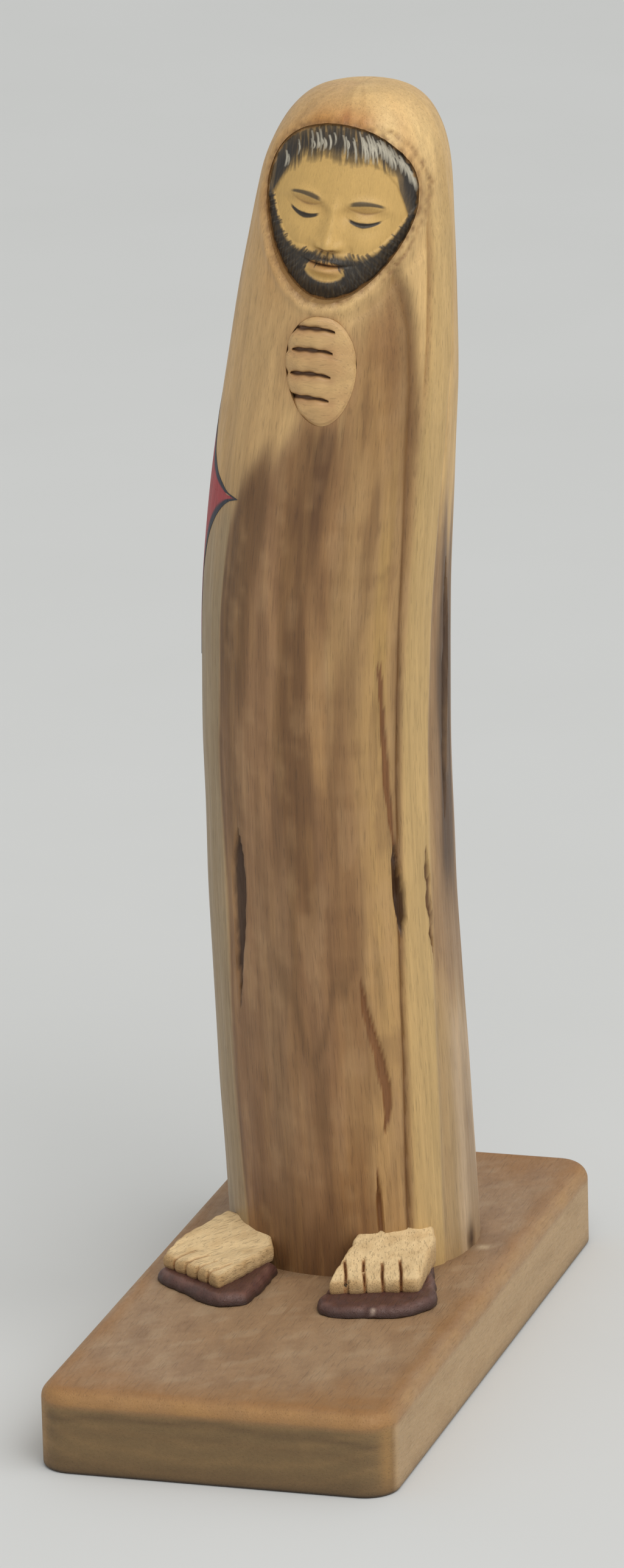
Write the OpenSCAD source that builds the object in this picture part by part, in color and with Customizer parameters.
// A hooded and robed standing figure carved from a bent branch, fixed to a planed board.
// Millimetres. The origin is the centre of the board's underside, +Z is up, the board's
// length runs along Y and the figure looks towards -Y.

/* [Plinth] */
// Width of the board
plinth_w = 80; // [76:1:100]
// Length of the board, front to back
plinth_l = 172; // [160:1:200]
// Thickness of the planed board
plinth_t = 19; // [18:0.5:24]
// Radius of the upright corners
plinth_corner_r = 7.5; // [6:0.5:12]
// Rounding of the upper edges
plinth_edge_r = 3.5; // [2:0.5:5]

/* [Robe] */
// Height of the robe and hood above the board
robe_h = 265; // [258:1:275]
// Radius of the robe at its foot
robe_r = 27.9; // [27:0.1:29]
// Distance of the robe's axis behind the middle of the board
robe_back = 23.4; // [18:0.2:28]
// Turn of the whole figure towards its own left
facing = 4; // [-10:1:10]
// Depth of the carved line beside the blanket edge
fold_depth = 1.2; // [0.6:0.1:1.6]

/* [Face] */
// Height of the middle of the face above the board
face_z = 240; // [238:0.5:242]
// Half the width of the face opening
face_half_w = 16.5; // [14:0.5:16.5]
// Half the height of the face opening
face_half_h = 19; // [18:0.5:20.5]
// Sideways tilt of the head
face_tilt = 9; // [0:1:10]
// Turn of the head from the way the figure looks
face_turn = -2; // [-6:1:6]

/* [Hand] */
// Height of the middle of the hand above the board
hand_z = 206.5; // [200:0.5:208]
// Half the width of the hand
hand_half_w = 7.8; // [6:0.2:9]
// Half the length of the hand
hand_half_h = 12; // [10:0.5:13]
// Height of the back of the hand above the robe
hand_proud = 1.3; // [0.8:0.1:2]

/* [Feet] */
// Thickness of the soles
sole_t = 2.6; // [2:0.1:4]
// Height of a foot at its heel
foot_heel_h = 9.2; // [8:0.1:11]
// Height of a foot at its toes
foot_toe_h = 2.8; // [2.2:0.1:4]
// Width of the cuts between the toes
toe_cut_w = 0.8; // [0.5:0.1:1.2]

/* [Screws] */
// Radius of the screw's shank
screw_r = 2.1; // [1.8:0.1:2.5]
// Radius of the countersunk head
screw_head_r = 4.2; // [3.8:0.1:5]
// Length of a screw, head included
screw_l = 45; // [35:1:60]
// Distance between the two screws
screw_gap = 24; // [18:1:30]

/* [Hidden] */
$fn = 64;
tiny = 0.01;

// Share of the robe's height, share of the foot's radius, sideways lean in millimetres
SECTIONS = [[0, 1, 1], [0.15, 1, -0.7], [0.3, 0.99, -2.3], [0.45, 0.985, -2.9],
            [0.57, 0.98, -2.2], [0.62, 0.97, -1], [0.68, 0.95, 0.5], [0.75, 0.92, 2.7],
            [0.83, 0.855, 4.6], [0.89, 0.79, 6], [0.945, 0.73, 7.6], [1, 0.675, 9.2]];
section_blend = 0.025;
crown_from = 0.895;
crown_power = 3;
body_rings = 34;
crown_rings = 10;

// Share of the robe's height, angle of the blanket's edge round from the front
FOLD_LINE = [[0, 38], [0.19, 43], [0.38, 48], [0.62, 52], [0.77, 56], [0.87, 58], [1, 60]];
FOLD_SIDES = [-3.5, -1.5, 0, 1.5, 3.5];
column_step = 6;
fold_top = 0.86;

function column(i) = [for (s = SECTIONS) [s[0], s[i]]];
girths = column(1);
leans = column(2);
function blended(rows, t) =
    (lookup(t - section_blend, rows) + 2 * lookup(t, rows) + lookup(t + section_blend, rows)) / 4;
function crown(t) =
    t < crown_from ? 1
    : pow(1 - pow((t - crown_from) / (1 - crown_from), crown_power), 1 / crown_power);
function robe_radius(t) = robe_r * blended(girths, t) * crown(t);
function robe_lean(t) = blended(leans, t);

// Rings from the foot to just under the top of the hood
function ring_shares() =
    concat([for (i = [0 : body_rings]) crown_from * i / body_rings],
           [for (i = [1 : crown_rings - 1]) crown_from + (1 - crown_from) * sin(90 * i / crown_rings)]);
RINGS = ring_shares();

// Columns that follow the blanket's edge, close together where the line is cut
COLUMNS = concat(FOLD_SIDES, [for (a = [9 : column_step : 351]) a]);
function fold_dip(j, t) =
    t > fold_top ? 0
    : j == 2 ? fold_depth
    : j == 1 ? fold_depth / 3
    : 0;
function robe_point(j, t) =
    let (a = lookup(t, FOLD_LINE) + COLUMNS[j], r = robe_radius(t) - fold_dip(j, t))
    [robe_lean(t) + r * sin(a), -r * cos(a), t * robe_h];

// Stands children on the board at the robe's axis, turned the way the figure looks
module on_robe() {
    translate([0, robe_back, plinth_t]) rotate([0, 0, facing]) children();
}

// Lays a flat outline on the robe's front: X across, Y up the figure, Z forwards
module on_front(z, tilt = 0, turn = 0) {
    on_robe() translate([robe_lean(z / robe_h), 0, z]) rotate([0, tilt, turn])
        rotate([90, 0, 0]) children();
}

/* Face */
face_back = 8;
rim_steps = 60;
face_rings = 14;
face_egg = 0.2;
function face_rim(a) = [face_half_w * sin(a) * (1 + face_egg * cos(a)), face_half_h * cos(a)];
hairline = 13;
chin = -18.5;
third = (hairline - chin) / 3;
brow_y = hairline - third;
nose_y = brow_y - third;
eye_y = brow_y - 0.25 * third;
eye_w = face_half_w * 2 / 5;
mouth_y = nose_y - third / 3;

function bump(x, y, w, h) = exp(-(x * x) / (w * w) - (y * y) / (h * h));
function pair(u, v, x, y, w, h) = bump(u - x, v - y, w, h) + bump(u + x, v - y, w, h);
function nose_line(v) = (v > brow_y || v < nose_y) ? 0 : (brow_y - v) / (brow_y - nose_y);
function face_depth(u, v) =
    18.6 - 0.16 * v - 0.0045 * v * v - 0.027 * u * u
    + (0.5 + 2.2 * nose_line(v)) * bump(u, v - (brow_y + nose_y) / 2, 1.9, 0.55 * third)
    + 1.2 * bump(u, v - nose_y - 1.6, 1.8, 1.5)
    + 0.7 * pair(u, v, 2.4, nose_y + 0.9, 1.2, 1.2)
    + 0.8 * pair(u, v, eye_w, brow_y + 0.3, 4.6, 1.5)
    - 1.0 * pair(u, v, eye_w, eye_y, 4.2, 2.6)
    + 0.8 * pair(u, v, eye_w, eye_y, 2.6, 1.6)
    + 0.6 * pair(u, v, 8.6, nose_y + 1.5, 3.5, 3.5)
    + 0.9 * bump(u, v - mouth_y, 5, 2.6)
    - 0.8 * bump(u, v - mouth_y, 4.4, 0.7)
    + 0.8 * bump(u, v - chin - 3.5, 4.5, 3);

/* Hand */
hand_back = 22;
hand_rings = 8;
hand_egg = 0.12;
hand_r = robe_radius(hand_z / robe_h);
hand_taper = 0.075;
slit_w = 0.7;
slit_depth = 1;
SLIT_ROWS = [9.5, 4.7, -0.6, -6.1];
function hand_rim(a) = [hand_half_w * sin(a) * (1 + hand_egg * cos(a)), hand_half_h * cos(a)];
function hand_depth(u, v, share) =
    hand_r - hand_taper * v - u * u / (2 * hand_r) + 0.4 + (hand_proud - 0.4) * (1 - pow(share, 4));

// Solid with a flat back, an outline wall and a carved front. front holds one ring of points
// for each step from the middle out, peak is the middle's depth and back the floor's
module relief(front, peak, back) {
    n = len(front[0]);
    rings = len(front);
    points = concat([for (ring = front) each ring], [for (p = front[rings - 1]) [p.x, p.y, back]],
                    [[0, 0, peak]]);
    middle = [for (i = [0 : n - 1]) [(rings + 1) * n, i, (i + 1) % n]];
    sides = [for (k = [0 : rings - 1]) for (i = [0 : n - 1])
        let (a = k * n + i, b = k * n + (i + 1) % n)
        each [[a, b + n, b], [a, a + n, b + n]]];
    floor = [for (i = [0 : n - 1]) (rings + 1) * n - 1 - i];
    polyhedron(points, concat(middle, sides, [floor]));
}

function rim_angle(i) = 360 * i / rim_steps;
face_front = [for (k = [1 : face_rings]) [for (i = [0 : rim_steps - 1])
    let (p = face_rim(rim_angle(i)) * k / face_rings) [p.x, p.y, face_depth(p.x, p.y)]]];
hand_front = [for (k = [1 : hand_rings]) [for (i = [0 : rim_steps - 1])
    let (s = k / hand_rings, p = hand_rim(rim_angle(i)) * s)
    [p.x, p.y, hand_depth(p.x, p.y, s)]]];

module face_outline() { polygon([for (i = [0 : rim_steps - 1]) face_rim(rim_angle(i))]); }
module hand_outline() { polygon([for (i = [0 : rim_steps - 1]) hand_rim(rim_angle(i))]); }

/* Feet: corners of each block as [x, y, share of the climb to the heel], the toe line first */
toe_count = 5;
toe_cut_l = 9;
toe_cut_floor = 0.6;
toe_cut_lead = 1;
RIGHT_FOOT = [[-33.3, -13, 0], [-16.5, -24.6, 0], [-10, -4, 0.1], [-13.5, 3, 0.65],
              [-24, 8, 0.6], [-30.5, -5, 0.35]];
LEFT_FOOT = [[8, -23, 0], [27.4, -17, 0], [25.8, 2, 0.45], [24, 7, 0.6], [9.5, 4, 0.95]];
foot_gap = 0.1;

/* Soles: corners of each outline on the board */
sole_round = 3;
sole_straight = 0.6; // share of the thickness below the eased upper edge
sole_ease = 0.8;
RIGHT_SOLE = [[-31.2, -16.5], [-15.5, -26.5], [-12, -23], [-11.8, -5], [-30.5, -2]];
LEFT_SOLE = [[9.8, -27.4], [25, -23], [28.7, -17], [20.5, 9], [9.8, 2]];

/* Screws */
driver_w = 1.2;
driver_l = 4.4;
driver_depth = 2;
point_l = 6;
head_ease = 0.3;
hole_gap = 0.2;

function foot_height(share) = sole_t + foot_toe_h + share * (foot_heel_h - foot_toe_h);

module rounded_post(r) {
    edge = plinth_edge_r;
    rotate_extrude() intersection() {
        union() {
            square([r, plinth_t - edge]);
            square([r - edge, plinth_t]);
            translate([r - edge, plinth_t - edge]) circle(edge);
        }
        square([r, plinth_t]);
    }
}

module rounded_rail(l, r) {
    edge = plinth_edge_r;
    rotate([90, 0, 0]) linear_extrude(l, center = true) {
        square([r, plinth_t - edge]);
        square([r - edge, plinth_t]);
        translate([r - edge, plinth_t - edge]) circle(edge);
    }
}

module board() {
    r = plinth_corner_r;
    x = plinth_w / 2 - r;
    y = plinth_l / 2 - r;
    translate([-x, -y, 0]) cube([2 * x, 2 * y, plinth_t]);
    for (side = [0, 180]) rotate([0, 0, side]) {
        translate([x, 0, 0]) rounded_rail(2 * y, r);
        translate([0, y, 0]) rotate([0, 0, 90]) rounded_rail(2 * x, r);
        translate([x, y, 0]) rounded_post(r);
        translate([-x, y, 0]) rounded_post(r);
    }
}

// Screws stand in a row across the board, heads down
module at_screws() {
    for (side = [-1, 1])
        translate([side * screw_gap / 2, robe_back, 0]) children();
}

module screw_hole() {
    translate([0, 0, -tiny]) cylinder(h = plinth_t + 2 * tiny, r = screw_r + hole_gap);
    translate([0, 0, -tiny])
        cylinder(h = screw_head_r - screw_r, r1 = screw_head_r + hole_gap, r2 = screw_r + hole_gap);
}

module screw() {
    head_t = screw_head_r - screw_r;
    difference() {
        rotate_extrude() polygon([
            [0, 0], [screw_head_r - head_ease, 0], [screw_r, head_t], [screw_r, screw_l - point_l],
            [0, screw_l]]);
        for (turn = [0, 90]) rotate([0, 0, turn])
            translate([-driver_l / 2, -driver_w / 2, -tiny])
                cube([driver_l, driver_w, driver_depth + tiny]);
    }
}

// Block with a level floor and a top that climbs from the toes to the heel
module foot_block(corners) {
    n = len(corners);
    low = [for (c = corners) [c.x, c.y, plinth_t + sole_t]];
    high = [for (c = corners) [c.x, c.y, plinth_t + foot_height(c.z)]];
    walls = [for (i = [0 : n - 1]) let (k = (i + 1) % n) each [[k, i, i + n], [k, i + n, k + n]]];
    instep = [[n, 2 * n - 1, n + 2], [n, n + 2, n + 1]];
    heel = [for (i = [3 : n - 2]) [n + 2, n + i + 1, n + i]];
    polyhedron(concat(low, high), concat([[for (i = [0 : n - 1]) i]], walls, instep, heel));
}

// Cuts between the toes, square to the toe line
module toe_cuts(corners) {
    from = corners[0];
    to = corners[1];
    along = to - from;
    turn = atan2(along.y, along.x);
    for (i = [1 : toe_count - 1]) {
        p = from + along * i / toe_count;
        translate([p.x, p.y, plinth_t + sole_t + toe_cut_floor]) rotate([0, 0, turn])
            translate([-toe_cut_w / 2, -toe_cut_lead, 0]) cube([toe_cut_w, toe_cut_l, foot_heel_h]);
    }
}

module foot(corners) {
    difference() {
        foot_block(corners);
        robe_footprint(plinth_t + foot_heel_h + 2 * sole_t);
        toe_cuts(corners);
    }
}

module sole(corners) {
    difference() {
        translate([0, 0, plinth_t]) hull()
            for (c = corners) translate([c.x, c.y, 0]) {
                cylinder(h = sole_t * sole_straight, r = sole_round, $fn = 32);
                cylinder(h = sole_t, r = sole_round - sole_ease, $fn = 32);
            }
        robe_footprint(plinth_t + 2 * sole_t);
    }
}

// Upright cylinder round the robe's foot, which the feet and soles are cut to
module robe_footprint(h) {
    translate([0, 0, -tiny]) on_axis() cylinder(h = h, r = robe_r + foot_gap);
}

module on_axis() {
    translate([robe_lean(0) * cos(facing), robe_back + robe_lean(0) * sin(facing), 0]) children();
}

module plinth() {
    color("tan") difference() {
        board();
        at_screws() screw_hole();
    }
}

module branch() {
    n = len(COLUMNS);
    rings = len(RINGS);
    points = concat([for (t = RINGS) for (j = [0 : n - 1]) robe_point(j, t)],
                    [[robe_lean(1), 0, robe_h]]);
    floor = [for (j = [0 : n - 1]) j];
    sides = [for (k = [0 : rings - 2]) for (j = [0 : n - 1])
        let (a = k * n + j, b = k * n + (j + 1) % n)
        each [[a, b + n, b], [a, a + n, b + n]]];
    top = [for (j = [0 : n - 1])
        [(rings - 1) * n + j, rings * n, (rings - 1) * n + (j + 1) % n]];
    polyhedron(points, concat([floor], sides, top));
}

module robe() {
    color("burlywood") difference() {
        on_robe() branch();
        on_front(face_z, face_tilt, face_turn) translate([0, 0, face_back])
            linear_extrude(robe_r) face_outline();
        on_front(hand_z) translate([0, 0, hand_back]) linear_extrude(robe_r) hand_outline();
        at_screws() translate([0, 0, plinth_t - tiny])
            cylinder(h = screw_l - plinth_t + tiny, r = screw_r);
    }
}

module face() {
    color("goldenrod") on_front(face_z, face_tilt, face_turn)
        relief(face_front, face_depth(0, 0), face_back);
}

module hand() {
    color("wheat") difference() {
        on_front(hand_z) relief(hand_front, hand_depth(0, 0, 0), hand_back);
        on_front(hand_z) for (row = SLIT_ROWS)
            translate([-hand_half_w, row - slit_w / 2, hand_r + hand_proud - slit_depth])
                rotate([0, 0, -3]) cube([1.35 * hand_half_w, slit_w, robe_r]);
    }
}

module right_foot() { color("moccasin") foot(RIGHT_FOOT); }
module left_foot() { color("moccasin") foot(LEFT_FOOT); }
module right_sole() { color("rosybrown") sole(RIGHT_SOLE); }
module left_sole() { color("rosybrown") sole(LEFT_SOLE); }
module plinth_screws() { color("silver") at_screws() screw(); }

plinth();
robe();
face();
hand();
right_foot();
left_foot();
right_sole();
left_sole();
plinth_screws();
